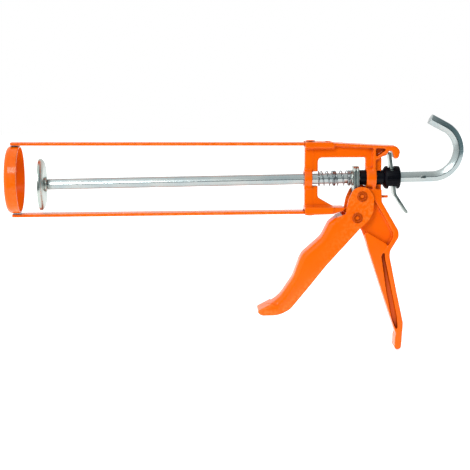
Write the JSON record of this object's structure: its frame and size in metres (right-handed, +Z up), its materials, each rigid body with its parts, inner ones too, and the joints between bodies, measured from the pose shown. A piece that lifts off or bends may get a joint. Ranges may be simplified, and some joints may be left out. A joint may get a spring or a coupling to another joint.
{
  "type": "caulking gun",
  "caption": "Skeleton caulking gun: strip frame with front ring, hex push rod with pull hook, squeeze trigger and release catch.",
  "frame": {"origin": "middle of the hand grip, on the mid-plane", "axes": "+X from the front ring towards the rod's hook, +Z up, +Y across; it stands upright as it is held in use"},
  "size_m": [0.3559, 0.0524, 0.1868],
  "materials": {
    "orange_paint": "glossy paint over cast and pressed metal",
    "zinc_steel": "bright zinc plate",
    "spring_steel": "bright drawn wire",
    "black_nylon": "satin moulded nylon"
  },
  "bodies": {
    "frame": {"body_casting": "orange_paint", "front_ring": "orange_paint", "frame_strip_top": "orange_paint", "frame_strip_bottom": "orange_paint", "strip_rivet_top": "orange_paint", "strip_rivet_bottom": "orange_paint", "pivot_rivet": "orange_paint", "catch_housing": "black_nylon", "main_spring": "spring_steel", "catch_spring": "spring_steel"},
    "trigger": {"trigger": "orange_paint", "drive_rivet": "orange_paint"},
    "roller": {"drive_roller": "zinc_steel"},
    "drive_plates": {"drive_plate_front": "zinc_steel", "drive_plate_rear": "zinc_steel", "main_spring_washer": "zinc_steel"},
    "rod": {"push_rod": "zinc_steel", "disc_collar": "zinc_steel", "piston_disc": "zinc_steel"},
    "lever": {"catch_lever": "zinc_steel"}
  },
  "joints": [
    {"name": "trigger_pull", "type": "hinge", "parent": "frame", "child": "trigger", "pos_m": [-0.0251, 0, 0.0542], "axis": [0, -1, 0], "range_deg": [0, 38], "stiffness_Nm_per_rad": 0.17, "springref_deg": -51.57},
    {"name": "drive_slide", "type": "slide", "parent": "frame", "child": "drive_plates", "axis": [-0.9999, 0, -0.0148], "range_m": [0, 0.0115], "deforming": ["main_spring"]},
    {"name": "roller_spin", "type": "hinge", "parent": "trigger", "child": "roller", "pos_m": [-0.0215, 0, 0.0712], "axis": [0, -1, 0], "continuous": true},
    {"name": "rod_slide", "type": "slide", "parent": "frame", "child": "rod", "axis": [-0.9999, 0, -0.0148], "range_m": [-0.199, 0.015]},
    {"name": "catch_release", "type": "hinge", "parent": "frame", "child": "lever", "pos_m": [0.0002, 0, 0.1044], "axis": [0, 1, 0], "range_deg": [0, 6], "stiffness_Nm_per_rad": 0.02, "springref_deg": -17.19, "deforming": ["catch_spring"]}
  ],
  "couplings": [
    {"joint": "drive_slide", "follows": "trigger_pull", "m_per_rad": 0.0166}
  ]
}
